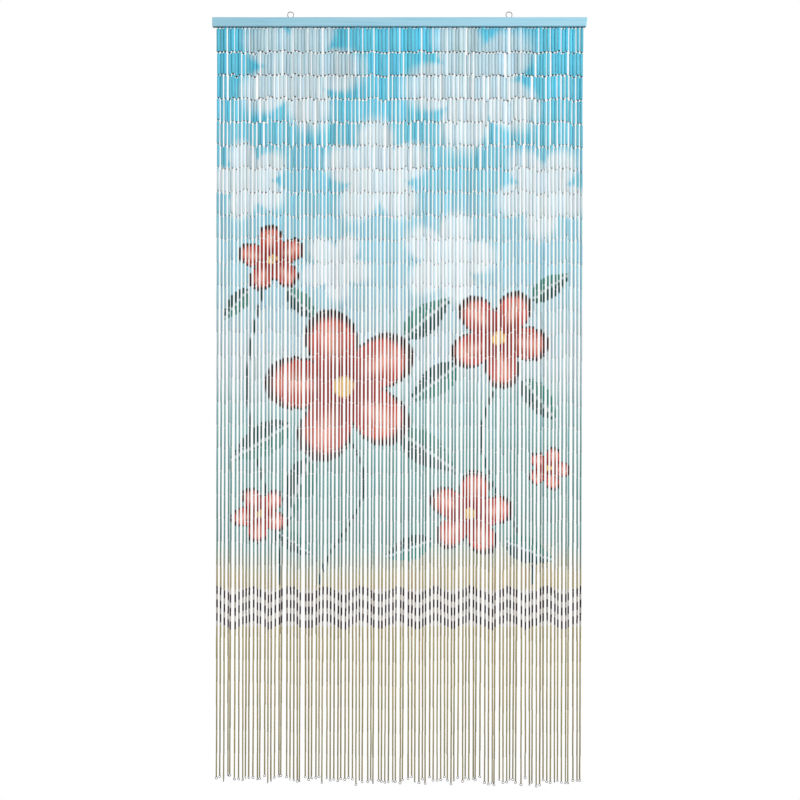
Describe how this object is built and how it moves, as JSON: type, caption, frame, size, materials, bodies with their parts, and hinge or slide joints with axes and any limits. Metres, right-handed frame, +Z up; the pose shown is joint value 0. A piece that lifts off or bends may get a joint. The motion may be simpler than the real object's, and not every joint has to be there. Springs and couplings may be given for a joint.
{
  "type": "bamboo bead door curtain with its wooden header bar",
  "caption": "Painted bamboo tube strands linked by wire, hung side by side from a slim wooden header bar with screw eyes, to screen a doorway.",
  "frame": {"origin": "midway between the two screw eyes, where hooks seat inside the tops of their rings", "axes": "+Z up; -Y out of the painted front; +X to the right of someone facing the front"},
  "size_m": [0.9999, 0.018, 2.0725],
  "materials": {
    "bar_paint": "wooden lath in satin light blue paint",
    "bamboo": "bamboo tube painted in sky blue, white, sea green, coral and sand",
    "steel_wire": "bare steel wire, slightly dull"
  },
  "bodies": {
    "root": {"header_bar": "bar_paint", "eye_left": "steel_wire", "eye_right": "steel_wire", "bamboo_strands": "bamboo"}
  },
  "joints": []
}
